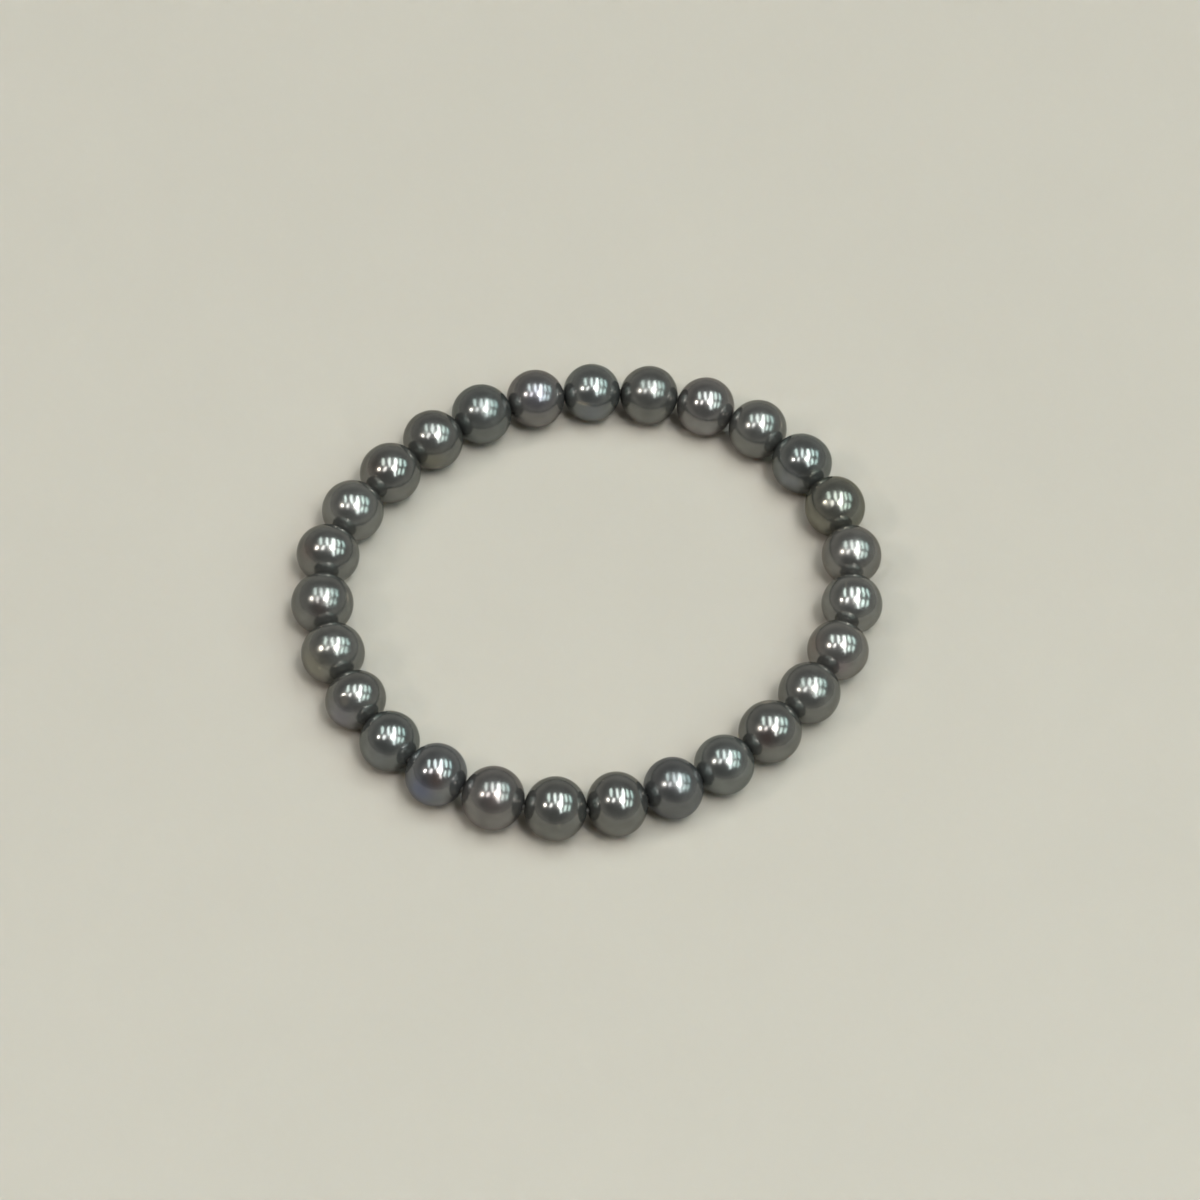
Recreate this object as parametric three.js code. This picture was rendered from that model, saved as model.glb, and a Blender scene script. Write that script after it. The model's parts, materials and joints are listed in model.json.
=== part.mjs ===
// Pearl bracelet: a row of drilled, near-round grey pearls on one elastic thread.
// It lies flat in a closed loop, as it rests on a table. Millimetres, +Z up. The plane that it
// rests on is z = 0, and the origin is under the middle of the whole bracelet.
import * as THREE from 'three';

// The pearls
const PEARL_DIAMETER = 7.4; // across the drill hole
const PEARL_LENGTH = 7.12; // along the drill hole, a little less than round
const PEARL_GAP = 0.18; // between neighbours, along the thread

// The thread, and the room that it has in the drill holes
const THREAD_DIAMETER = 0.7;
const HOLE_CLEARANCE = 0.3;

// How finely the round shapes are faceted
const PEARL_SIDES = 16;
const PEARL_BANDS = 10; // flat bands from pole to pole, the outer ones cut by the drill hole
const THREAD_SIDES = 8;
const THREAD_STEPS_PER_PEARL = 4;

// Nacre is dark grey, and each pearl has an overtone of its own.
const NACRE = {
  grey: 0x5f5f5a,
  teal: 0x566261,
  blue: 0x555b66,
  mauve: 0x655d64,
  taupe: 0x67605a,
  olive: 0x5f5e4f,
};
const ELASTIC = 0x8f8d86;

// Each pearl's size across and along its drill hole, as shares of PEARL_DIAMETER and PEARL_LENGTH,
// clockwise as seen from above, from the middle of the far side.
const PEARLS = [
  { across: 0.972, along: 0.975, overtone: 'teal' },
  { across: 0.988, along: 0.990, overtone: 'grey' },
  { across: 0.990, along: 0.992, overtone: 'mauve' },
  { across: 0.991, along: 0.995, overtone: 'grey' },
  { across: 0.999, along: 1.036, overtone: 'teal' },
  { across: 0.998, along: 1.047, overtone: 'olive' },
  { across: 0.979, along: 1.022, overtone: 'taupe' },
  { across: 0.995, along: 1.002, overtone: 'grey' },
  { across: 1.000, along: 0.980, overtone: 'taupe' },
  { across: 0.995, along: 1.035, overtone: 'grey' },
  { across: 1.008, along: 1.037, overtone: 'grey' },
  { across: 0.959, along: 0.973, overtone: 'teal' },
  { across: 0.989, along: 0.956, overtone: 'blue' },
  { across: 1.025, along: 0.981, overtone: 'grey' },
  { across: 1.016, along: 1.008, overtone: 'grey' },
  { across: 1.012, along: 1.011, overtone: 'mauve' },
  { across: 1.003, along: 0.992, overtone: 'blue' },
  { across: 0.962, along: 0.968, overtone: 'teal' },
  { across: 0.981, along: 0.934, overtone: 'grey' },
  { across: 1.021, along: 0.998, overtone: 'grey' },
  { across: 1.002, along: 1.023, overtone: 'grey' },
  { across: 1.026, along: 0.980, overtone: 'grey' },
  { across: 1.017, along: 1.021, overtone: 'grey' },
  { across: 0.999, along: 1.031, overtone: 'grey' },
  { across: 1.002, along: 1.006, overtone: 'grey' },
  { across: 1.003, along: 1.018, overtone: 'teal' },
  { across: 0.975, along: 0.987, overtone: 'mauve' },
];

// How the loop lies: its reach from the middle at each turn, in degrees clockwise from the far
// side, as a share of its mean reach. The row of pearls settles how large the loop is.
const ROUTE = [
  { turn: 0, reach: 0.991 },
  { turn: 30, reach: 1.070 },
  { turn: 60, reach: 1.076 },
  { turn: 90, reach: 1.003 },
  { turn: 120, reach: 0.924 },
  { turn: 150, reach: 0.931 },
  { turn: 180, reach: 1.012 },
  { turn: 210, reach: 1.047 },
  { turn: 240, reach: 1.035 },
  { turn: 270, reach: 1.024 },
  { turn: 300, reach: 0.937 },
  { turn: 330, reach: 0.950 },
];
const FIRST_PEARL_STARTS = 347.4; // the turn where the first pearl's side of the row begins

const radians = THREE.MathUtils.degToRad;

// The loop in shares of its mean reach, as a smooth closed curve through the list above
const loop = new THREE.CatmullRomCurve3(
  ROUTE.map(({ turn, reach }) => new THREE.Vector3(
    reach * Math.sin(radians(turn)),
    reach * Math.cos(radians(turn)),
    0,
  )),
  true,
  'catmullrom',
);

// A pearl's side of the row: its own length and half the gap at each end
const sides = PEARLS.map(({ along }) => PEARL_LENGTH * along + PEARL_GAP);
const rowLength = sides.reduce((sum, side) => sum + side, 0);

// The last value, from low to high, for which a condition still holds. It halves the range until
// no number lies between its ends.
function lastThatHolds(low, high, condition) {
  const middle = (low + high) / 2;
  if (middle === low || middle === high) return low;
  return condition(middle)
    ? lastThatHolds(middle, high, condition)
    : lastThatHolds(low, middle, condition);
}

// The place further round the loop that is one side away in a straight line. It is sought in the
// next quarter of the loop, which is longer than any side.
function nextCorner(place, side) {
  const from = loop.getPoint(place % 1);
  const isNearer = (further) => loop.getPoint(further % 1).distanceTo(from) < side;
  return lastThatHolds(place, place + 1 / 4, isNearer);
}

// The places where neighbours meet, for a loop of a given mean reach
function cornersFor(meanReach) {
  const places = [FIRST_PEARL_STARTS / 360];
  for (const side of sides) places.push(nextCorner(places.at(-1), side / meanReach));
  return places;
}

// The largest mean reach at which the row still comes round to where it began. It is near that of
// a circle as long as the row.
function closingReach() {
  const circle = rowLength / (2 * Math.PI);
  const comesRound = (reach) => cornersFor(reach).at(-1) >= 1 + FIRST_PEARL_STARTS / 360;
  return lastThatHolds(circle / 2, circle * 2, comesRound);
}

const meanReach = closingReach();
const corners = cornersFor(meanReach)
  .slice(0, PEARLS.length)
  .map((place) => loop.getPoint(place % 1).multiplyScalar(meanReach));

// Half the outline of a pearl that is drilled through along Y: the wall of the hole, then the
// outside from rim to rim. Its flat bands touch the true round form at their middles. The middle
// band is the foot that it stands on, and the drill hole takes the place of the two end bands.
function pearlOutline(width, length) {
  const band = Math.PI / PEARL_BANDS;
  const bandsAtRim = 1;
  const sideFacet = 1 / Math.cos(Math.PI / PEARL_SIDES);
  const bandFacet = 1 / Math.cos(band / 2);
  const hole = (THREAD_DIAMETER + HOLE_CLEARANCE) / 2;
  const rim = (length / 2) * Math.sqrt(1 - (2 * hole / width) ** 2);
  const outline = [new THREE.Vector2(hole * sideFacet, rim)];
  outline.push(new THREE.Vector2(hole * sideFacet, -rim));
  for (let edge = bandsAtRim; edge < PEARL_BANDS - bandsAtRim; edge += 1) {
    const latitude = (edge + 1 / 2) * band - Math.PI / 2;
    outline.push(new THREE.Vector2(
      (width / 2) * Math.cos(latitude) * sideFacet * bandFacet,
      (length / 2) * Math.sin(latitude) * bandFacet,
    ));
  }
  outline.push(outline[0].clone());
  return outline;
}

function makePearl(index) {
  const { across, along, overtone } = PEARLS[index];
  const width = PEARL_DIAMETER * across;
  const start = corners[index];
  const end = corners[(index + 1) % PEARLS.length];
  const geometry = new THREE.LatheGeometry(
    pearlOutline(width, PEARL_LENGTH * along),
    PEARL_SIDES,
    Math.PI / PEARL_SIDES,
  );
  const material = new THREE.MeshStandardMaterial({
    color: NACRE[overtone],
    roughness: 0.2,
    metalness: 0.3,
  });
  const pearl = new THREE.Mesh(geometry, material);
  pearl.name = `pearl_${String(index + 1).padStart(2, '0')}`;
  pearl.position.addVectors(start, end).divideScalar(2);
  pearl.position.z = width / 2;
  pearl.rotation.z = Math.atan2(end.y - start.y, end.x - start.x) - Math.PI / 2;
  return pearl;
}

// The thread runs through each pearl's middle, and crosses from one to the next at their corner.
function makeThread(pearls) {
  const points = pearls.flatMap((pearl, index) => {
    const before = pearls.at(index - 1);
    const corner = corners[index].clone();
    corner.z = (before.position.z + pearl.position.z) / 2;
    return [corner, pearl.position.clone()];
  });
  const geometry = new THREE.TubeGeometry(
    new THREE.CatmullRomCurve3(points, true),
    PEARLS.length * THREAD_STEPS_PER_PEARL,
    THREAD_DIAMETER / 2,
    THREAD_SIDES,
    true,
  );
  const material = new THREE.MeshStandardMaterial({ color: ELASTIC, roughness: 0.5, metalness: 0 });
  const thread = new THREE.Mesh(geometry, material);
  thread.name = 'elastic_thread';
  return thread;
}

const bracelet = new THREE.Group();
const pearls = PEARLS.map((_, index) => makePearl(index));
bracelet.add(...pearls, makeThread(pearls));

// The origin goes under the middle of the bracelet.
const middle = new THREE.Box3().setFromObject(bracelet, true).getCenter(new THREE.Vector3());
bracelet.position.set(-middle.x, -middle.y, 0);

export default bracelet;
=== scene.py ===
"""Looks of a stretch bracelet of dark grey pearls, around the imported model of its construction.

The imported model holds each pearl's place, size and drill hole, and the route of the thread. Here
each pearl gets its true round form, its small faults and its nacre, and the thread its strands.
Lengths are in metres unless a name says otherwise.
"""

import json
import math

import bpy
import numpy as np
from bpy.props import FloatProperty, FloatVectorProperty, IntProperty, PointerProperty
from mathutils import Matrix, Vector, noise


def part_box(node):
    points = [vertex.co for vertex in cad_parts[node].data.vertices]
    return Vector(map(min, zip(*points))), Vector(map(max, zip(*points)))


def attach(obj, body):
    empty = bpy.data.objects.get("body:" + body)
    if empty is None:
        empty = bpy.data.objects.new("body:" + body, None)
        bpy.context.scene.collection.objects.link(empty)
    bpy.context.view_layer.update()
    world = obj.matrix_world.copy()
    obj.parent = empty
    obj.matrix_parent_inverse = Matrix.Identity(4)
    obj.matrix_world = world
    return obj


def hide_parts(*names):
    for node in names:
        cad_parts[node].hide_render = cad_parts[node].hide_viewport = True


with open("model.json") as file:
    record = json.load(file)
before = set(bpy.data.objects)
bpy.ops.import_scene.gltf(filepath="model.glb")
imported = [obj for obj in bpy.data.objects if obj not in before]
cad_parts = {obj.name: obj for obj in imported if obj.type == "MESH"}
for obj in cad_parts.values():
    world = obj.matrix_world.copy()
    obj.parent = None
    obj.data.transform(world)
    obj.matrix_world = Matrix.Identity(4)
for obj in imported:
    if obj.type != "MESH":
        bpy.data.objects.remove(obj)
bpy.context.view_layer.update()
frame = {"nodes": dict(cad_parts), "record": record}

bl_info = {
    "name": "Pearl Bracelet",
    "version": (1, 0, 0),
    "blender": (4, 5, 0),
    "location": "View3D > Sidebar > Pearl Bracelet",
    "description": "Drilled near-round pearls on an elastic thread, with a floor, lamps and camera",
    "category": "Add Mesh",
}

MM = 0.001
MICROMETRE = 1e-6
NODES = frame["nodes"]
PEARL_NODES = sorted(name for name in NODES if name.startswith("pearl_"))
THREAD_NODE = "elastic_thread"
CAD_SIDES = 16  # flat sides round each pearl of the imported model
SLOTS = {row["node"]: row["material_slot"] for row in frame["record"]["subparts"]}


def linear(hex_colour):
    """A colour given as an sRGB hex value, in linear light."""
    parts = [int(hex_colour[i : i + 2], 16) / 255 for i in (1, 3, 5)]
    return tuple(p / 12.92 if p <= 0.04045 else ((p + 0.055) / 1.055) ** 2.4 for p in parts)


# Nacre of dyed freshwater pearls. The body is the grey that the pearl mirrors its surroundings in
# at its middle. The rim is the share of a plain mirror's light that is left near its outline.
NACRE = {
    "grey": {"body": "#777774", "rim": "#bcbbb8"},
    "teal": {"body": "#767876", "rim": "#b9bcba"},
    "blue": {"body": "#767777", "rim": "#b9bbc1"},
    "mauve": {"body": "#777573", "rim": "#bfbaba"},
    "taupe": {"body": "#767572", "rim": "#bfbab5"},
    "olive": {"body": "#777770", "rim": "#bebbb1"},
}

# How light each pearl is beside the others, how much fuller its end nearer the next pearl is than
# the other one, how uneven its skin is, and how blurred its lustre is beside the best ones. Its kind
# of nacre comes from the part's record.
PEARLS = [
    {"light": 0.97, "egg": 0.00, "uneven": 0.7, "blur": 1.12},
    {"light": 0.94, "egg": 0.01, "uneven": 0.6, "blur": 1.28},
    {"light": 1.10, "egg": 0.00, "uneven": 0.5, "blur": 1.05},
    {"light": 1.05, "egg": 0.00, "uneven": 0.8, "blur": 1.20},
    {"light": 0.94, "egg": 0.01, "uneven": 1.4, "blur": 1.05},
    {"light": 0.94, "egg": 0.00, "uneven": 1.3, "blur": 1.12},
    {"light": 1.12, "egg": 0.00, "uneven": 0.8, "blur": 1.24},
    {"light": 1.16, "egg": 0.00, "uneven": 1.4, "blur": 1.00},
    {"light": 1.20, "egg": 0.00, "uneven": 1.0, "blur": 1.05},
    {"light": 1.02, "egg": 0.00, "uneven": 1.1, "blur": 1.16},
    {"light": 1.01, "egg": 0.00, "uneven": 1.3, "blur": 1.05},
    {"light": 1.02, "egg": 0.00, "uneven": 0.7, "blur": 1.16},
    {"light": 0.86, "egg": -0.02, "uneven": 0.8, "blur": 1.28},
    {"light": 0.97, "egg": 0.00, "uneven": 0.5, "blur": 1.00},
    {"light": 0.96, "egg": 0.00, "uneven": 0.4, "blur": 1.00},
    {"light": 1.06, "egg": 0.00, "uneven": 0.4, "blur": 1.22},
    {"light": 1.00, "egg": 0.00, "uneven": 0.5, "blur": 1.00},
    {"light": 0.96, "egg": 0.00, "uneven": 0.7, "blur": 1.00},
    {"light": 1.02, "egg": 0.00, "uneven": 1.2, "blur": 1.05},
    {"light": 1.05, "egg": 0.00, "uneven": 1.3, "blur": 1.18},
    {"light": 0.99, "egg": 0.00, "uneven": 1.2, "blur": 1.28},
    {"light": 1.03, "egg": 0.00, "uneven": 1.2, "blur": 1.05},
    {"light": 1.12, "egg": 0.00, "uneven": 1.2, "blur": 1.10},
    {"light": 1.01, "egg": 0.00, "uneven": 0.9, "blur": 1.00},
    {"light": 0.93, "egg": 0.00, "uneven": 1.3, "blur": 1.16},
    {"light": 0.89, "egg": 0.00, "uneven": 0.8, "blur": 1.28},
    {"light": 1.03, "egg": 0.00, "uneven": 0.6, "blur": 1.20},
]

# Blushes of overtone, and painted dark reflections: where each one shows from the camera, as shares of
# the pearl's radius to the right and up from its middle, its half width in radians round the pearl,
# its tone and its strength. The dark rows just under the highlight (pearls 5, 11, 16, 17 and 21) are
# painted reflections of the dark room behind the camera. The other rows are tints of the nacre.
BLUSHES_AND_PAINTED_REFLECTIONS = [
    {"pearl": 1, "at": (0.0, -0.75), "wide": 0.50, "tone": "#73767c", "strength": 0.8},
    {"pearl": 3, "at": (-0.1, -0.80), "wide": 0.55, "tone": "#807f7e", "strength": 0.8},
    {"pearl": 5, "at": (-0.4, -0.55), "wide": 0.40, "tone": "#7b7e84", "strength": 0.8},
    # Painted dark reflection of the room behind the camera, under the highlight
    {"pearl": 5, "at": (0.1, -0.38), "wide": 0.25, "tone": "#5a5b58", "strength": 0.8},
    {"pearl": 6, "at": (-0.6, -0.40), "wide": 0.55, "tone": "#7e7b70", "strength": 0.8},
    {"pearl": 9, "at": (-0.75, 0.2), "wide": 0.35, "tone": "#6c5e58", "strength": 0.5},
    {"pearl": 9, "at": (0.1, -0.55), "wide": 0.30, "tone": "#746a6e", "strength": 0.7},
    # Painted dark reflection of the room behind the camera, under the highlight
    {"pearl": 11, "at": (-0.1, -0.20), "wide": 0.30, "tone": "#6b5a56", "strength": 0.8},
    # Painted dark reflection of the room behind the camera, under the highlight
    {"pearl": 16, "at": (0.0, -0.10), "wide": 0.35, "tone": "#776b68", "strength": 0.7},
    {"pearl": 17, "at": (-0.5, -0.50), "wide": 0.45, "tone": "#666c84", "strength": 0.8},
    # Painted dark reflection of the room behind the camera, under the highlight
    {"pearl": 17, "at": (0.0, -0.16), "wide": 0.28, "tone": "#745f58", "strength": 0.7},
    {"pearl": 18, "at": (-0.4, -0.60), "wide": 0.45, "tone": "#787a7c", "strength": 0.7},
    {"pearl": 19, "at": (-0.5, -0.60), "wide": 0.50, "tone": "#7c7a82", "strength": 0.8},
    {"pearl": 20, "at": (-0.6, -0.35), "wide": 0.60, "tone": "#7f7c71", "strength": 0.8},
    # Painted dark reflection of the room behind the camera, under the highlight
    {"pearl": 21, "at": (-0.1, -0.20), "wide": 0.30, "tone": "#665b58", "strength": 0.7},
    {"pearl": 22, "at": (-0.7, 0.10), "wide": 0.35, "tone": "#6a5d57", "strength": 0.6},
    {"pearl": 24, "at": (-0.5, 0.20), "wide": 0.40, "tone": "#70665f", "strength": 0.6},
    {"pearl": 25, "at": (0.0, -0.70), "wide": 0.40, "tone": "#7b786c", "strength": 0.8},
    {"pearl": 27, "at": (0.1, 0.10), "wide": 0.50, "tone": "#7a7880", "strength": 0.8},
]

# Small faults in the nacre, and two painted glints. Each is where it shows from the camera, as shares of
# the pearl's radius to the right and up from its middle, with its length and width in millimetres, the
# direction of its length in degrees, its depth in micrometres, less than 0 where it stands out, and how
# pale it is. The pale spots at the top of pearl 11 and low on pearl 25 are painted glints, painted
# reflections of lights rather than bare nacre.
FAULTS_AND_PAINTED_GLINTS = [
    {"pearl": 1, "at": (-0.31, -0.35), "size": (1.8, 0.40), "turn": -8, "deep": -30, "pale": 0.9},
    {"pearl": 2, "at": (0.50, -0.58), "size": (0.9, 0.45), "turn": 30, "deep": -40, "pale": 0.2},
    {"pearl": 4, "at": (0.80, 0.16), "size": (0.9, 0.5), "turn": 80, "deep": -30, "pale": 0.5},
    {"pearl": 5, "at": (0.30, -0.40), "size": (0.9, 0.6), "turn": 20, "deep": -40, "pale": 0.1},
    {"pearl": 5, "at": (-0.35, -0.45), "size": (1.6, 1.2), "turn": 70, "deep": 30, "pale": 0.1},
    {"pearl": 6, "at": (-0.25, 0.05), "size": (1.8, 1.0), "turn": 35, "deep": 25, "pale": 0.0},
    {"pearl": 8, "at": (0.15, 0.15), "size": (4.2, 3.0), "turn": -15, "deep": 70, "pale": 0.0},
    {"pearl": 8, "at": (-0.18, 0.63), "size": (1.1, 0.22), "turn": 92, "deep": -15, "pale": 0.4},
    # Painted glint: a painted reflection of a light at the top of the pearl
    {"pearl": 11, "at": (-0.10, 0.93), "size": (1.2, 0.6), "turn": 5, "deep": 25, "pale": 0.8},
    {"pearl": 15, "at": (0.11, -0.54), "size": (0.5, 0.3), "turn": -50, "deep": 35, "pale": 0.25},
    {"pearl": 19, "at": (-0.37, -0.05), "size": (1.2, 1.1), "turn": 60, "deep": 50, "pale": 0.5},
    {"pearl": 20, "at": (-0.30, -0.22), "size": (0.9, 0.6), "turn": 20, "deep": 40, "pale": 0.1},
    {"pearl": 20, "at": (-0.42, -0.48), "size": (0.4, 0.3), "turn": 60, "deep": -20, "pale": 0.5},
    {"pearl": 21, "at": (-0.10, -0.09), "size": (0.9, 0.8), "turn": 0, "deep": -30, "pale": 0.1},
    {"pearl": 21, "at": (0.80, 0.20), "size": (1.0, 0.5), "turn": 75, "deep": -25, "pale": 0.7},
    # Painted glint: a painted reflection of a lamp low on the pearl
    {"pearl": 25, "at": (0.17, -0.90), "size": (0.8, 0.4), "turn": 5, "deep": 20, "pale": 0.6},
]

# How sharply each fault and painted glint ends: 1 is a soft bell, and more is a flatter top with a steeper
# side.
MARK_EDGE = 1.5

# The worn edge between the skin and the wall of the drill hole, in steps from the skin inward. Each is
# how far it lies out from the wall and in from the skin's last row, as shares of the edge's width.
WORN_EDGE = [(0.55, 0.06), (0.2, 0.30), (0.0, 0.80), (0.0, 1.6)]
# What lies nearer the wall than this share of the edge's width is as dull and dark as the wall.
BORED_SHARE = 0.9
# The skin is smooth at the worn edge, and as uneven as it gets from this many rows away.
SMOOTH_ROWS = 4

# Each pearl has its waves from a place of its own in the noise, this far from the last pearl's.
WAVE_STEP = (7.3, 3.1)
# The ripples on the slow waves: how many go into one wave, and how high they are beside it
RIPPLES_PER_WAVE = 3
RIPPLE_HEIGHT = 0.2
# How far the growth rings are shifted from pearl to pearl, and bent by the waves, in radians for a
# noise of 1
RING_SHIFT = 3
RING_BEND = 2

# Most of a noise texture lies between these two values.
NOISE_SPAN = {"From Min": 0.3, "From Max": 0.7}


class PearlSettings(bpy.types.PropertyGroup):
    """How the pearls are drilled, and how their skin departs from a smooth round."""

    hole: FloatProperty(
        name="Drill hole", description="Diameter of the drill hole", default=0.90 * MM, unit="LENGTH"
    )
    rim: FloatProperty(
        name="Rim", description="Width of the worn edge round the drill hole",
        default=0.06 * MM, unit="LENGTH",
    )
    turns: IntProperty(name="Turns", description="Faces round the drill hole", default=96, min=16)
    rows: IntProperty(
        name="Rows", description="Faces from one end of the hole to the other", default=72, min=16
    )
    wave: FloatProperty(
        name="Wave", description="Height of the slow waves in the skin", default=0.024 * MM, unit="LENGTH"
    )
    wave_length: FloatProperty(
        name="Wave length", description="Distance from one slow wave to the next",
        default=2.6 * MM, unit="LENGTH",
    )
    ring: FloatProperty(
        name="Growth ring", description="Depth of the growth rings", default=0.003 * MM, unit="LENGTH"
    )
    ring_spacing: FloatProperty(
        name="Ring spacing", description="Distance between growth rings", default=0.9 * MM, unit="LENGTH"
    )
    touch: FloatProperty(
        name="Touch", description="Share of the gap to a neighbour that the skin closes",
        default=0.96, max=1.0,
    )


class NacreSettings(bpy.types.PropertyGroup):
    """What the nacre is like on every pearl."""

    roughness: FloatProperty(
        name="Lustre roughness", description="Blur of the deeper layers' reflection", default=0.18
    )
    metallic: FloatProperty(
        name="Depth of lustre", description="Share of the light that the layers mirror in their own tone",
        default=0.85,
    )
    gloss: FloatProperty(
        name="Gloss", description="Refractive index that gives the outermost layers their mirror",
        default=1.5,
    )
    gloss_share: FloatProperty(
        name="Gloss share", description="How much of the outermost layers' mirror shows", default=0.12
    )
    gloss_roughness: FloatProperty(
        name="Gloss roughness", description="Blur of the outermost layers' reflection", default=0.03
    )
    grain: FloatProperty(
        name="Grain", description="Size of the finest unevenness of the skin",
        default=0.16 * MM, unit="LENGTH",
    )
    # The pale colour of bare spots, which is also painted on pearls 11 and 25 as painted glints.
    bare_spot_and_painted_glint: FloatVectorProperty(
        name="Bare spot", description="Where the coloured layers are thin", subtype="COLOR",
        default=linear("#b5ada0"),
    )
    bore: FloatVectorProperty(
        name="Drilled nacre", description="Colour of the drill hole's wall", subtype="COLOR",
        default=linear("#4a4640"),
    )


class ThreadSettings(bpy.types.PropertyGroup):
    """The elastic thread."""

    diameter: FloatProperty(
        name="Diameter", description="Diameter over the strands", default=0.7 * MM, unit="LENGTH"
    )
    strands: IntProperty(name="Strands", description="Strands round the thread", default=8, min=3)
    pitch: FloatProperty(
        name="Pitch", description="Length in which a strand goes round once", default=4 * MM, unit="LENGTH"
    )
    colour: FloatVectorProperty(
        name="Colour", description="Colour of the polyurethane strands", subtype="COLOR",
        default=linear("#4a4844"),
    )


class StageSettings(bpy.types.PropertyGroup):
    """The floor, the room and the lamps."""

    floor: FloatVectorProperty(
        name="Floor", description="Colour of the satin-glazed floor", subtype="COLOR",
        default=linear("#9c968d"),
    )
    wall: FloatVectorProperty(
        name="Walls", description="Colour of the room low down, all round", subtype="COLOR",
        default=linear("#9e9b94"),
    )
    ceiling: FloatVectorProperty(
        name="Ceiling", description="Colour of the room high up", subtype="COLOR",
        default=linear("#565450"),
    )
    shade: FloatProperty(
        name="Shade", description="How bright the room is behind the camera, as a share of the rest",
        default=0.3,
    )
    backdrop: FloatVectorProperty(
        name="Backdrop", description="What the camera sees past the floor", subtype="COLOR",
        default=linear("#d2d0c8"),
    )
    lamp_distance: FloatProperty(
        name="Lamp distance", description="Distance of the lamps from the bracelet",
        default=4.0, unit="LENGTH",
    )
    lamp_glow: FloatProperty(name="Lamp glow", description="Radiance of a full lamp", default=6.1)


GROUPS = {
    "pearls": PearlSettings,
    "nacre": NacreSettings,
    "thread": ThreadSettings,
    "stage": StageSettings,
}


def settings(group):
    """One group of the settings that the panel shows."""
    return getattr(bpy.context.scene, f"bracelet_{group}")


# The photograph's camera: where it stands, how far it looks down and leans, its lens, and the
# nearest that it sees
CAMERA_PLACE = Vector((1.53, -279.74, 389.07)) * MM
CAMERA_DOWN = math.radians(54.11)
CAMERA_LEAN = math.radians(7.71)
CAMERA_LENS_MM = 119.25
CAMERA_SENSOR_MM = 36.0
CAMERA_NEAREST = 10 * MM
CAMERA_TURN = Matrix.Rotation(math.pi / 2 - CAMERA_DOWN, 3, "X") @ Matrix.Rotation(CAMERA_LEAN, 3, "Z")

# The lamps of the room, each by where a pearl in the middle of the picture mirrors its two ends, as
# shares of the pearl's radius to the right and up, with its width in the same shares, its glow
# beside a full lamp's, and its tint. Most are strips, and two are small bright spots.
LAMPS = [
    {"low": (-0.20, 0.22), "high": (-0.22, 0.49), "wide": 0.075, "glow": 1.0, "tint": "#eefffc"},
    {"low": (0.00, 0.18), "high": (-0.02, 0.50), "wide": 0.075, "glow": 1.2, "tint": "#f4ffff"},
    {"low": (0.18, 0.18), "high": (0.18, 0.49), "wide": 0.085, "glow": 1.95, "tint": "#f4ffff"},
    {"low": (0.19, -0.12), "high": (0.16, 0.10), "wide": 0.065, "glow": 1.4, "tint": "#f4ffff"},
    {"low": (0.17, 0.04), "high": (0.13, 0.26), "wide": 0.170, "glow": 1.6, "tint": "#ffffff"},
    {"low": (0.12, 0.12), "high": (0.11, 0.16), "wide": 0.035, "glow": 32.0, "tint": "#fffdf8"},
    {"low": (-0.33, 0.08), "high": (-0.33, 0.19), "wide": 0.090, "glow": 1.0, "tint": "#ffffff"},
    {"low": (-0.33, 0.12), "high": (-0.33, 0.16), "wide": 0.035, "glow": 22.0, "tint": "#fff6ea"},
    {"low": (-0.17, 0.06), "high": (-0.11, 0.21), "wide": 0.080, "glow": 1.4, "tint": "#ffffff"},
    {"low": (0.35, 0.20), "high": (0.32, 0.48), "wide": 0.060, "glow": 1.20, "tint": "#e0faf6"},
    {"low": (0.50, 0.18), "high": (0.45, 0.44), "wide": 0.060, "glow": 0.95, "tint": "#d4f4f2"},
    {"low": (0.29, -0.07), "high": (0.34, 0.15), "wide": 0.065, "glow": 1.20, "tint": "#e6fcf8"},
    {"low": (0.42, -0.06), "high": (0.47, 0.14), "wide": 0.065, "glow": 0.95, "tint": "#dcf6f2"},
]

# The dark part of the room behind the camera: the direction of its middle, its reach to each side of
# that as shares of a unit sphere's radius, and where its soft edge starts and ends, as shares of it
SHADE_PLACE = (-0.10, -0.82, 0.56)
SHADE_REACH = (0.85, 0.60, 0.45)
SHADE_EDGE = (0.75, 1.25)
# How high the walls end and the ceiling is full, as shares of the same radius, and how much lower
# they do so for each share of it to the side
WALL_END = 0.30
CEILING_FULL = 0.65
SIDE_DROP = 0.15


def add(tree, kind, inputs=None, **values):
    """A shader node with its settings. An input is given as a value, or as a socket to link."""
    node = tree.nodes.new(kind)
    for name, value in values.items():
        setattr(node, name, value)
    for key, value in (inputs or {}).items():
        if isinstance(value, bpy.types.NodeSocket):
            tree.links.new(value, node.inputs[key])
        else:
            node.inputs[key].default_value = value
    return node


def blank_material(name):
    """A material with an empty tree and its output."""
    material = bpy.data.materials.new(name)
    material.use_nodes = True
    tree = material.node_tree
    tree.nodes.clear()
    return material, tree, add(tree, "ShaderNodeOutputMaterial")


def put_mesh(name, points, faces, material, attributes=None, colours=None):
    """A smooth-shaded object with its place in its mesh, and values and colours of its points."""
    mesh = bpy.data.meshes.new(name)
    mesh.from_pydata([tuple(point) for point in points], [], faces)
    mesh.shade_smooth()
    for key, values in (attributes or {}).items():
        mesh.attributes.new(key, "FLOAT", "POINT").data.foreach_set("value", values)
    for key, values in (colours or {}).items():
        mesh.attributes.new(key, "FLOAT_COLOR", "POINT").data.foreach_set("color", np.ravel(values))
    mesh.materials.append(material)
    mesh.update()
    piece = bpy.data.objects.new(name, mesh)
    bpy.context.collection.objects.link(piece)
    return piece


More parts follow.
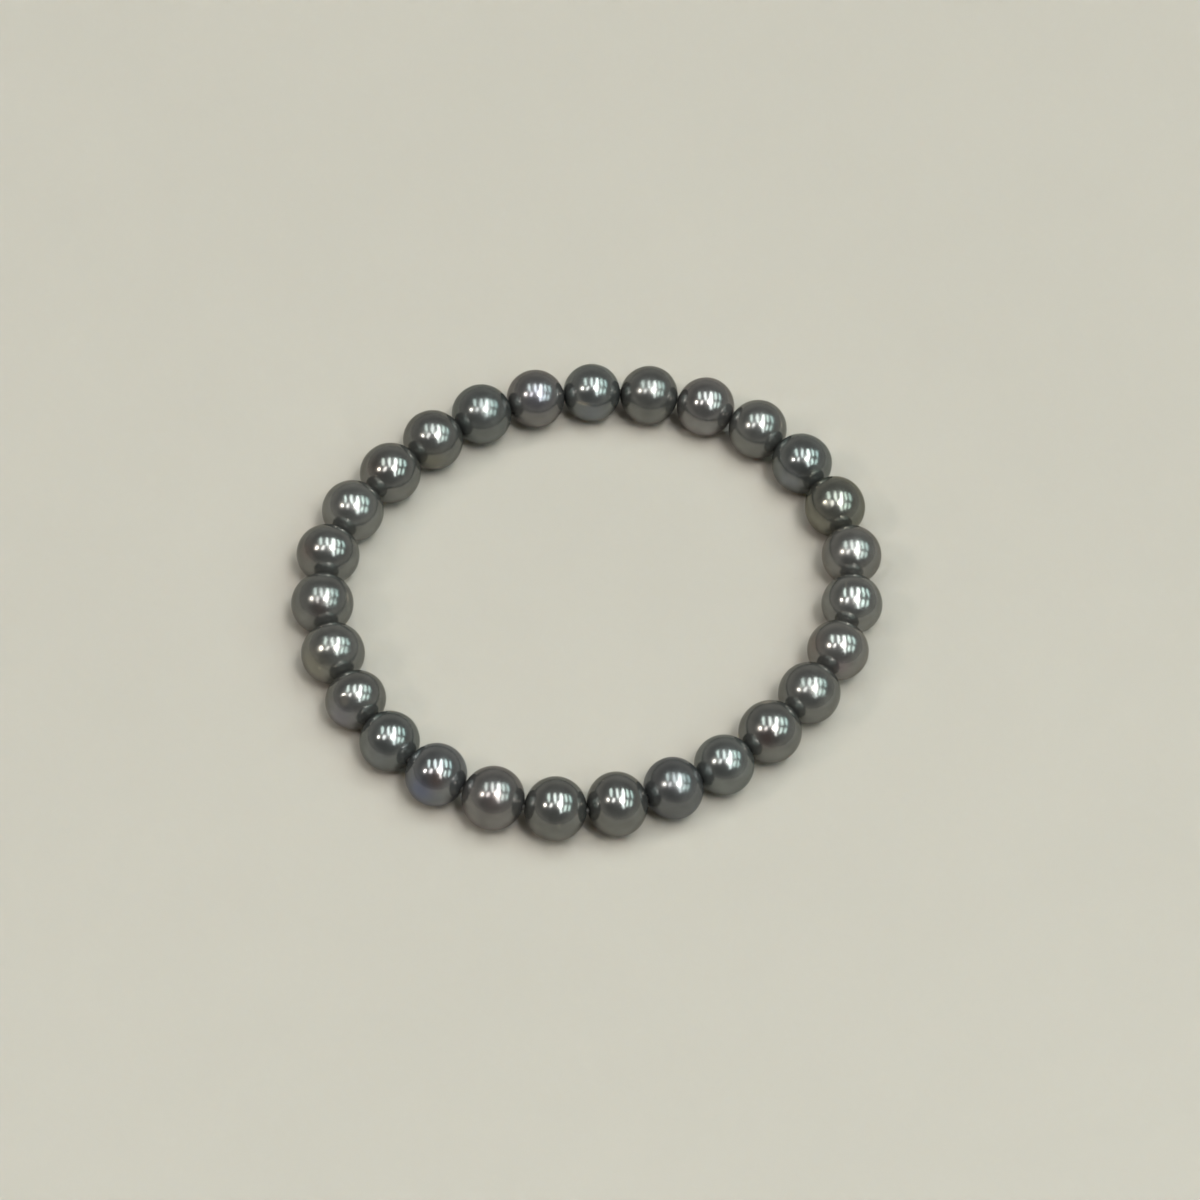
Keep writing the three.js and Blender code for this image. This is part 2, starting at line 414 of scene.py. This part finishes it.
def node_points(name):
    """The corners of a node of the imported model, and the pairs of them that its edges join."""
    mesh = NODES[name].data
    points = np.empty(len(mesh.vertices) * 3)
    mesh.vertices.foreach_get("co", points)
    edges = np.empty(len(mesh.edges) * 2, dtype=int)
    mesh.edges.foreach_get("vertices", edges)
    return points.reshape(-1, 3), edges.reshape(-1, 2)


def measure_pearl(name):
    """A pearl's middle, the direction of its drill hole, and its half width and half length.

    The wall of the hole has by far the longest edges of the pearl, so they give its direction. The
    hole takes off the pearl's tips, so its half length is worked out from the hole's rim."""
    nearly_longest = 0.9
    points, edges = node_points(name)
    low, high = (np.array(corner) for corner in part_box(name))
    middle = (low + high) / 2
    spans = points[edges[:, 1]] - points[edges[:, 0]]
    lengths = np.linalg.norm(spans, axis=1)
    wall = spans[lengths > nearly_longest * lengths.max()]
    wall *= np.sign(wall @ wall[0])[:, None]
    along = wall.sum(axis=0)
    along[2] = 0
    along /= np.linalg.norm(along)
    half_width = (high[2] - low[2]) / 2
    rim = ((points - middle) @ along).max()
    corner = np.linalg.norm(np.cross(points - middle, along), axis=1).min()
    hole = corner * math.cos(math.pi / CAD_SIDES)
    half_length = rim / math.sqrt(1 - (hole / half_width) ** 2)
    return {"middle": middle, "along": along, "width": half_width, "length": half_length}


def measure_row():
    """All pearls in their order, each with its hole pointing to the next one."""
    row = [measure_pearl(name) for name in PEARL_NODES]
    for index, pearl in enumerate(row):
        onward = row[(index + 1) % len(row)]["middle"] - pearl["middle"]
        if onward @ pearl["along"] < 0:
            pearl["along"] = -pearl["along"]
    return row


def reach(pearl, direction):
    """How far a pearl reaches from its middle in a direction."""
    share = direction @ pearl["along"]
    return math.sqrt((pearl["length"] * share) ** 2 + (1 - share**2) * pearl["width"] ** 2)


def clearance(pearl, other):
    """The gap between two neighbours."""
    apart = other["middle"] - pearl["middle"]
    distance = np.linalg.norm(apart)
    return distance - reach(pearl, apart / distance) - reach(other, apart / distance)


def seen_at(pearl, right, up):
    """The direction from a pearl's middle to the spot that the camera sees at a share of the
    pearl's radius to the right and up."""
    turn = np.array(CAMERA_TURN)
    toward = np.array(CAMERA_PLACE) - pearl["middle"]
    toward /= np.linalg.norm(toward)
    right_axis = turn[:, 0] - toward * (turn[:, 0] @ toward)
    right_axis /= np.linalg.norm(right_axis)
    up_axis = np.cross(toward, right_axis)
    return right * right_axis + up * up_axis + math.sqrt(max(0, 1 - right**2 - up**2)) * toward


def mark_fields(index, pearl, directions):
    """How deep the faults of one pearl make each point of its skin, and how pale its bare spots and
    painted glints make it.
    """
    deep = np.zeros(len(directions))
    pale = np.zeros(len(directions))
    for mark in FAULTS_AND_PAINTED_GLINTS:
        if mark["pearl"] != index + 1:
            continue
        spot = seen_at(pearl, *mark["at"])
        long, wide = (span * MM for span in mark["size"])
        turn = np.array(CAMERA_TURN)
        lean = math.radians(mark["turn"])
        length_axis = math.cos(lean) * turn[:, 0] + math.sin(lean) * turn[:, 1]
        length_axis -= spot * (length_axis @ spot)
        length_axis /= np.linalg.norm(length_axis)
        width_axis = np.cross(spot, length_axis)
        across = directions @ length_axis * pearl["width"] / (long / 2)
        down = directions @ width_axis * pearl["width"] / (wide / 2)
        near = np.where(directions @ spot > 0, np.exp(-((across**2 + down**2) ** MARK_EDGE)), 0)
        deep += near * mark["deep"] * MICROMETRE
        pale += near * mark["pale"]
    return deep, np.clip(pale, 0, 1)


def nacre_of(index):
    """The tones of one pearl's kind of nacre."""
    return NACRE[SLOTS[PEARL_NODES[index]].removeprefix("nacre_")]


def body_tones(index, pearl, directions):
    """The tone of the nacre at each point of one pearl, with its tints and its painted dark reflections of
    the room behind the camera.
    """
    tones = np.tile(linear(nacre_of(index)["body"]), (len(directions), 1))
    for patch in BLUSHES_AND_PAINTED_REFLECTIONS:
        if patch["pearl"] != index + 1:
            continue
        away = np.arccos(np.clip(directions @ seen_at(pearl, *patch["at"]), -1, 1))
        # Each patch is a tint of the nacre, or a painted dark reflection under the highlight.
        share = patch["strength"] * np.exp(-((away / patch["wide"]) ** 2))[:, None]
        tones = tones * (1 - share) + share * linear(patch["tone"])
    return np.column_stack([tones * PEARLS[index]["light"], np.ones(len(tones))])


def skin_offsets(index, pearl, directions, along_share):
    """How far the skin stands in from a smooth round at each point."""
    form = settings("pearls")
    wave_scale = pearl["width"] / form.wave_length
    seed = Vector((index * WAVE_STEP[0], index * WAVE_STEP[1], 0))
    waves = np.array([noise.noise(Vector(d) * wave_scale + seed) for d in directions])
    ripples = np.array([
        noise.noise(Vector(d) * wave_scale * RIPPLES_PER_WAVE + seed) for d in directions
    ])
    # Each pearl has one noise value of its own for where its growth rings lie and how deep they are.
    own = noise.noise(seed + Vector((0.5, 0.5, 0.5)))
    phase = 2 * math.pi * along_share * pearl["length"] / form.ring_spacing
    rings = np.sin(phase + RING_SHIFT * own + RING_BEND * waves)
    waviness = form.wave * (waves + RIPPLE_HEIGHT * ripples)
    return PEARLS[index]["uneven"] * (waviness + form.ring * rings * (0.5 + own))


def pearl_outline(index, row):
    """The outline of a drilled pearl from one end of the hole's wall over the skin to the other, as
    distances out from the hole's middle line and along it."""
    form = settings("pearls")
    pearl = row[index]
    before, after = row[index - 1], row[(index + 1) % len(row)]
    ends = {
        -1: pearl["length"] + form.touch * clearance(before, pearl) / 2,
        1: pearl["length"] + form.touch * clearance(pearl, after) / 2,
    }
    hole = form.hole / 2
    rim_angle = math.asin((hole + form.rim) / pearl["width"])
    egg = PEARLS[index]["egg"]
    angles = np.linspace(math.pi - rim_angle, rim_angle, form.rows + 1)
    length = np.where(np.cos(angles) < 0, ends[-1], ends[1])
    skin = np.column_stack([
        pearl["width"] * np.sin(angles) * (1 + egg * np.cos(angles)),
        length * np.cos(angles),
    ])
    last = [(hole + form.rim * out, skin[-1, 1] - form.rim * inward) for out, inward in WORN_EDGE]
    first = [(hole + form.rim * out, skin[0, 1] + form.rim * inward) for out, inward in WORN_EDGE]
    return np.vstack([first[::-1], skin, last])


def skin_fade(skin_rows):
    """How much of its unevenness the skin has in each row of the outline."""
    steps = np.arange(skin_rows)
    near = np.clip(np.minimum(steps, steps[::-1]) / SMOOTH_ROWS, 0, 1)
    edge = np.zeros(len(WORN_EDGE))
    return np.concatenate([edge, np.sin(near * math.pi / 2), edge])


def ring_faces(rings, sides):
    """The faces between each ring of points and the next one, and from the last to the first."""
    faces = []
    for ring in range(rings):
        onward = (ring + 1) % rings
        for k in range(sides):
            after = (k + 1) % sides
            faces.append((
                ring * sides + k,
                onward * sides + k,
                onward * sides + after,
                ring * sides + after,
            ))
    return faces


def make_pearl(index, row):
    """One drilled pearl: its skin from rim to rim, the worn edges, and the wall of the hole."""
    form = settings("pearls")
    pearl = row[index]
    outline = pearl_outline(index, row)

    # The outline goes round the hole, from its level side over the top and on.
    along = pearl["along"]
    up = np.array([0.0, 0.0, 1.0])
    side = np.cross(along, up)
    turn = np.arange(form.turns) * 2 * math.pi / form.turns
    around = np.cos(turn)[:, None] * side + np.sin(turn)[:, None] * up
    points = outline[:, 0, None, None] * around[None] + outline[:, 1, None, None] * along
    points = points.reshape(-1, 3)
    directions = points / np.linalg.norm(points, axis=1)[:, None]
    share = (points @ along) / pearl["length"]

    fade = np.repeat(skin_fade(form.rows + 1), form.turns)
    deep, pale = mark_fields(index, pearl, directions)
    offset = fade * (skin_offsets(index, pearl, directions, share) + deep)
    points = points - directions * offset[:, None] + pearl["middle"]
    bored = np.where(outline[:, 0] < form.hole / 2 + form.rim * BORED_SHARE, 1.0, 0.0)

    name = PEARL_NODES[index]
    # The pale values include painted glints, and the tones include painted dark reflections.
    piece = put_mesh(
        f"nacre_{name}", points, ring_faces(len(outline), form.turns), nacre_material(index),
        {"pale": pale * fade, "drilled": np.repeat(bored, form.turns)},
        {"tone": body_tones(index, pearl, directions)},
    )
    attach(piece, "root")
    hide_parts(name)
    return piece


def nacre_material(index):
    """Dyed nacre: thin crystal layers over a grey body, grown in a mussel and tumbled to a shine.

    The layers mirror the room in the pearl's own tone, slightly blurred, and the outermost one
    mirrors it sharply and without tone. Thicker and thinner layers drift by like clouds, which are
    lighter and darker, and blur the lustre more or less. The drill hole's wall is dull and bare."""
    cloud_size = 1.8 * MM
    darkest, lightest = 0.88, 1.12
    # What the clouds add to the roughness, and what the wall adds to it and to the metallic share
    clearest, haziest = -0.02, 0.03
    wall_roughness, wall_metallic = 0.4, -0.9
    grain_height = 0.01 * MM
    look = settings("nacre")
    lustre = look.roughness * PEARLS[index]["blur"]
    rim = linear(nacre_of(index)["rim"])
    material, tree, output = blank_material(f"dyed_nacre_{index + 1:02d}")
    place = add(tree, "ShaderNodeTexCoord").outputs["Object"]
    clouds = add(tree, "ShaderNodeTexNoise", {
        "Vector": place, "Scale": 1 / cloud_size, "Detail": 3.0, "Roughness": 0.5,
    })
    drift = add(tree, "ShaderNodeMapRange", {
        "Value": clouds.outputs["Fac"], **NOISE_SPAN, "To Min": darkest, "To Max": lightest,
    })
    # The tone attribute holds the pearl's tints and, under the highlight of five pearls, painted dark
    # reflections of the room behind the camera.
    body = add(tree, "ShaderNodeAttribute", attribute_name="tone")
    tinted = add(tree, "ShaderNodeVectorMath", {
        0: body.outputs["Color"], "Scale": drift.outputs["Result"],
    }, operation="SCALE")
    # The pale attribute paints bare spots into the colour, and on pearls 11 and 25 painted glints.
    pale = add(tree, "ShaderNodeAttribute", attribute_name="pale")
    drilled = add(tree, "ShaderNodeAttribute", attribute_name="drilled")
    paled = add(tree, "ShaderNodeMix", {
        "Factor": pale.outputs["Fac"], "A": tinted.outputs["Vector"], "B": (*look.bare_spot_and_painted_glint, 1),
    }, data_type="RGBA")
    bored = add(tree, "ShaderNodeMix", {
        "Factor": drilled.outputs["Fac"], "A": paled.outputs["Result"], "B": (*look.bore, 1),
    }, data_type="RGBA")
    grain = add(tree, "ShaderNodeTexNoise", {
        "Vector": place, "Scale": 1 / look.grain, "Detail": 2.0, "Roughness": 0.6,
    })
    skin = add(tree, "ShaderNodeBump", {
        "Height": grain.outputs["Fac"], "Strength": 0.10, "Distance": grain_height,
    })
    haze = add(tree, "ShaderNodeMapRange", {
        "Value": clouds.outputs["Fac"], **NOISE_SPAN,
        "To Min": lustre + clearest, "To Max": lustre + haziest,
    })
    worn = add(tree, "ShaderNodeMath", {
        0: drilled.outputs["Fac"], 1: wall_roughness, 2: haze.outputs["Result"],
    }, operation="MULTIPLY_ADD")
    depth = add(tree, "ShaderNodeMath", {
        0: drilled.outputs["Fac"], 1: wall_metallic, 2: look.metallic,
    }, operation="MULTIPLY_ADD")
    shader = add(tree, "ShaderNodeBsdfPrincipled", {
        "Base Color": bored.outputs["Result"],
        "Metallic": depth.outputs["Value"],
        "Roughness": worn.outputs["Value"],
        "Specular Tint": (*rim, 1),
        "Normal": skin.outputs["Normal"],
        "Coat Weight": look.gloss_share,
        "Coat Roughness": look.gloss_roughness,
        "Coat IOR": look.gloss,
    })
    tree.links.new(shader.outputs["BSDF"], output.inputs["Surface"])
    return material


def elastic_material():
    """Spun polyurethane: translucent grey strands with a dull silky gloss. Real fibres are finer than
    these, which are as coarse as they need to be to show."""
    fibre_width = 0.1 * MM
    fibre_height = 0.02 * MM
    material, tree, output = blank_material("spun_polyurethane")
    place = add(tree, "ShaderNodeTexCoord").outputs["Object"]
    fibres = add(tree, "ShaderNodeTexNoise", {
        "Vector": place, "Scale": 1 / fibre_width, "Detail": 3.0,
    })
    shade = add(tree, "ShaderNodeMapRange", {
        "Value": fibres.outputs["Fac"], "To Min": 0.75, "To Max": 1.2,
    })
    colour = add(tree, "ShaderNodeVectorMath", {
        0: settings("thread").colour, "Scale": shade.outputs["Result"],
    }, operation="SCALE")
    bump = add(tree, "ShaderNodeBump", {
        "Height": fibres.outputs["Fac"], "Strength": 0.3, "Distance": fibre_height,
    })
    shader = add(tree, "ShaderNodeBsdfPrincipled", {
        "Base Color": colour.outputs["Vector"],
        "Roughness": 0.6,
        "IOR": 1.5,
        "Transmission Weight": 0.3,
        "Normal": bump.outputs["Normal"],
    })
    tree.links.new(shader.outputs["BSDF"], output.inputs["Surface"])
    return material


def thread_route(row):
    """Points of the thread: the middle of each gap between pearls, and each pearl's middle."""
    points = []
    for index, pearl in enumerate(row):
        before = row[index - 1]
        leaves = before["middle"] + before["along"] * before["length"]
        enters = pearl["middle"] - pearl["along"] * pearl["length"]
        points += [(leaves + enters) / 2, pearl["middle"]]
    return np.array(points)


def smooth_closed(points, steps):
    """A closed smooth curve through points, with so many steps from each one to the next."""
    share = np.arange(steps) / steps
    curve = []
    for index in range(len(points)):
        before, start = points[index - 1], points[index]
        end, after = points[(index + 1) % len(points)], points[(index + 2) % len(points)]
        for t in share:
            curve.append(0.5 * (
                2 * start
                + (end - before) * t
                + (2 * before - 5 * start + 4 * end - after) * t**2
                + (3 * start - before - 3 * end + after) * t**3
            ))
    return np.array(curve)


def make_thread(row):
    """The thread, as a bundle of strands that wind round it."""
    form = settings("thread")
    steps_per_strand_turn = 14
    points_per_strand = 4
    groove = 0.12  # depth between two strands, as a share of the thread's radius
    sides = form.strands * points_per_strand
    route = thread_route(row)
    total = np.linalg.norm(np.roll(route, -1, axis=0) - route, axis=1).sum()
    steps = math.ceil(total / form.pitch * steps_per_strand_turn / len(route))
    centre = smooth_closed(route, steps)
    ahead = np.roll(centre, -1, axis=0) - np.roll(centre, 1, axis=0)
    ahead /= np.linalg.norm(ahead, axis=1)[:, None]
    side = np.cross(ahead, (0, 0, 1))
    side /= np.linalg.norm(side, axis=1)[:, None]
    up = np.cross(side, ahead)
    windings = round(total / form.pitch)
    stations = len(centre)
    wind = np.arange(stations) / stations * windings * 2 * math.pi
    angle = np.arange(sides) * 2 * math.pi / sides
    strand = np.abs(np.cos(form.strands / 2 * angle))
    radius = form.diameter / 2 * (1 - groove + groove * strand)
    turned = wind[:, None] + angle
    points = (
        centre[:, None]
        + (np.cos(turned) * radius)[..., None] * side[:, None]
        + (np.sin(turned) * radius)[..., None] * up[:, None]
    ).reshape(-1, 3)
    piece = put_mesh("elastic_cord", points, ring_faces(stations, sides), elastic_material())
    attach(piece, "root")
    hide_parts(THREAD_NODE)
    return piece


def floor_material():
    """Satin-glazed stoneware: light goes a little way into the pale body, which softens shadows, and
    the fine-grained glaze has only a broad, faint gloss."""
    cloud_size = 40 * MM
    light_depth = 1.2 * MM
    material, tree, output = blank_material("satin_glazed_stoneware")
    place = add(tree, "ShaderNodeTexCoord").outputs["Object"]
    cloud = add(tree, "ShaderNodeTexNoise", {
        "Vector": place, "Scale": 1 / cloud_size, "Detail": 2.0,
    })
    shade = add(tree, "ShaderNodeMapRange", {
        "Value": cloud.outputs["Fac"], "To Min": 0.98, "To Max": 1.02,
    })
    colour = add(tree, "ShaderNodeVectorMath", {
        0: settings("stage").floor, "Scale": shade.outputs["Result"],
    }, operation="SCALE")
    shader = add(tree, "ShaderNodeBsdfPrincipled", {
        "Base Color": colour.outputs["Vector"],
        "Roughness": 0.35,
        "IOR": 1.5,
        "Specular IOR Level": 0.2,
        "Subsurface Weight": 1.0,
        "Subsurface Radius": (1.0, 0.9, 0.75),
        "Subsurface Scale": light_depth,
    }, subsurface_method="BURLEY")
    tree.links.new(shader.outputs["BSDF"], output.inputs["Surface"])
    return material


def make_floor():
    """The floor, as a round sheet that is far wider than the bracelet."""
    radius = 1.2
    corners = 96
    angles = [2 * math.pi * k / corners for k in range(corners)]
    points = [(radius * math.cos(a), radius * math.sin(a), 0) for a in angles]
    floor = put_mesh("floor", points, [tuple(range(corners))], floor_material())


def mirrored(right, up):
    """The direction that a pearl in the middle of the picture mirrors at a share of its radius."""
    out = math.sqrt(1 - right**2 - up**2)
    bounce = Vector((2 * out * right, 2 * out * up, 2 * out**2 - 1))
    return CAMERA_TURN @ bounce


def make_lamp(number, row):
    """One flat lamp that faces the bracelet."""
    stage = settings("stage")
    low = mirrored(*row["low"]) * stage.lamp_distance
    high = mirrored(*row["high"]) * stage.lamp_distance
    middle = (low + high) / 2
    lamp = bpy.data.lights.new(f"lamp_{number}", "AREA")
    lamp.shape = "ELLIPSE"
    lamp.size = 2 * row["wide"] * stage.lamp_distance
    lamp.size_y = (high - low).length
    lamp.color = linear(row["tint"])
    # A flat lamp's power is its radiance times its area and pi.
    area = math.pi / 4 * lamp.size * lamp.size_y
    lamp.energy = row["glow"] * stage.lamp_glow * area * math.pi
    piece = bpy.data.objects.new(f"lamp_{number}", lamp)
    back = middle.normalized()
    tall = (high - low - back * (high - low).dot(back)).normalized()
    facing = Matrix((tall.cross(back), tall, back)).transposed()
    piece.matrix_world = Matrix.Translation(middle) @ facing.to_4x4()
    bpy.context.collection.objects.link(piece)


def make_room():
    """A dim room, darker behind the camera, and the pale backdrop that the camera sees instead."""
    stage = settings("stage")
    world = bpy.data.worlds.new("room")
    world.use_nodes = True
    tree = world.node_tree
    tree.nodes.clear()
    direction = add(tree, "ShaderNodeTexCoord").outputs["Generated"]
    off = add(tree, "ShaderNodeVectorMath", {0: direction, 1: SHADE_PLACE}, operation="SUBTRACT")
    share = add(tree, "ShaderNodeVectorMath", {
        0: off.outputs["Vector"], 1: SHADE_REACH,
    }, operation="DIVIDE")
    far = add(tree, "ShaderNodeVectorMath", {0: share.outputs["Vector"]}, operation="LENGTH")
    shade = add(tree, "ShaderNodeMapRange", {
        "Value": far.outputs["Value"], "From Min": SHADE_EDGE[0], "From Max": SHADE_EDGE[1],
        "To Min": stage.shade, "To Max": 1.0,
    })
    parts = add(tree, "ShaderNodeSeparateXYZ", {0: direction}).outputs
    aside = add(tree, "ShaderNodeMath", {0: parts["X"]}, operation="ABSOLUTE")
    height = add(tree, "ShaderNodeMath", {
        0: aside.outputs["Value"], 1: SIDE_DROP, 2: parts["Z"],
    }, operation="MULTIPLY_ADD")
    high_up = add(tree, "ShaderNodeMapRange", {
        "Value": height.outputs["Value"], "From Min": WALL_END, "From Max": CEILING_FULL,
    })
    room = add(tree, "ShaderNodeMix", {
        "Factor": high_up.outputs["Result"], "A": (*stage.wall, 1), "B": (*stage.ceiling, 1),
    }, data_type="RGBA")
    dim = add(tree, "ShaderNodeVectorMath", {
        0: room.outputs["Result"], "Scale": shade.outputs["Result"],
    }, operation="SCALE")
    dim_room = add(tree, "ShaderNodeBackground", {"Color": dim.outputs["Vector"]})
    backdrop = add(tree, "ShaderNodeBackground", {"Color": (*stage.backdrop, 1)})
    seen = add(tree, "ShaderNodeLightPath").outputs["Is Camera Ray"]
    mix = add(tree, "ShaderNodeMixShader", {0: seen, 1: dim_room.outputs[0], 2: backdrop.outputs[0]})
    add(tree, "ShaderNodeOutputWorld", {"Surface": mix.outputs[0]})
    bpy.context.scene.world = world


def make_camera():
    """The camera of the photograph."""
    camera = bpy.data.cameras.new("camera")
    camera.lens = CAMERA_LENS_MM
    camera.sensor_width = CAMERA_SENSOR_MM
    camera.clip_start = CAMERA_NEAREST
    piece = bpy.data.objects.new("camera", camera)
    piece.matrix_world = Matrix.Translation(CAMERA_PLACE) @ CAMERA_TURN.to_4x4()
    bpy.context.collection.objects.link(piece)
    bpy.context.scene.camera = piece


class BRACELET_OT_pearls(bpy.types.Operator):
    """Make the drilled pearls"""

    bl_idname = "bracelet.pearls"
    bl_label = "Pearls"

    def execute(self, context):
        row = measure_row()
        if len(row) != len(PEARLS):
            raise RuntimeError(f"the frame has {len(row)} pearls, and the table {len(PEARLS)}")
        for index in range(len(row)):
            make_pearl(index, row)
        return {"FINISHED"}


class BRACELET_OT_thread(bpy.types.Operator):
    """Make the elastic thread"""

    bl_idname = "bracelet.thread"
    bl_label = "Elastic thread"

    def execute(self, context):
        make_thread(measure_row())
        return {"FINISHED"}


class BRACELET_OT_stage(bpy.types.Operator):
    """Make the floor, the room, the lamps and the camera"""

    bl_idname = "bracelet.stage"
    bl_label = "Stage"

    def execute(self, context):
        make_camera()
        make_floor()
        make_room()
        for number, row in enumerate(LAMPS, start=1):
            make_lamp(number, row)
        context.scene.view_settings.view_transform = "Standard"
        return {"FINISHED"}


OPERATORS = (BRACELET_OT_stage, BRACELET_OT_pearls, BRACELET_OT_thread)


class BRACELET_PT_panel(bpy.types.Panel):
    """The bracelet's settings and operators"""

    bl_idname = "BRACELET_PT_panel"
    bl_label = "Pearl Bracelet"
    bl_space_type = "VIEW_3D"
    bl_region_type = "UI"
    bl_category = "Pearl Bracelet"

    def draw(self, context):
        for operator in OPERATORS:
            self.layout.operator(operator.bl_idname)
        for group, kind in GROUPS.items():
            box = self.layout.box()
            box.label(text=group.capitalize())
            for name in kind.__annotations__:
                box.prop(settings(group), name)


CLASSES = (*GROUPS.values(), *OPERATORS, BRACELET_PT_panel)


def register():
    for kind in CLASSES:
        bpy.utils.register_class(kind)
    for group, kind in GROUPS.items():
        setattr(bpy.types.Scene, f"bracelet_{group}", PointerProperty(type=kind))


def unregister():
    for group in GROUPS:
        delattr(bpy.types.Scene, f"bracelet_{group}")
    for kind in reversed(CLASSES):
        bpy.utils.unregister_class(kind)


def main():
    register()
    for operator in OPERATORS:
        group, name = operator.bl_idname.split(".")
        getattr(getattr(bpy.ops, group), name)()


if __name__ == "__main__":
    main()
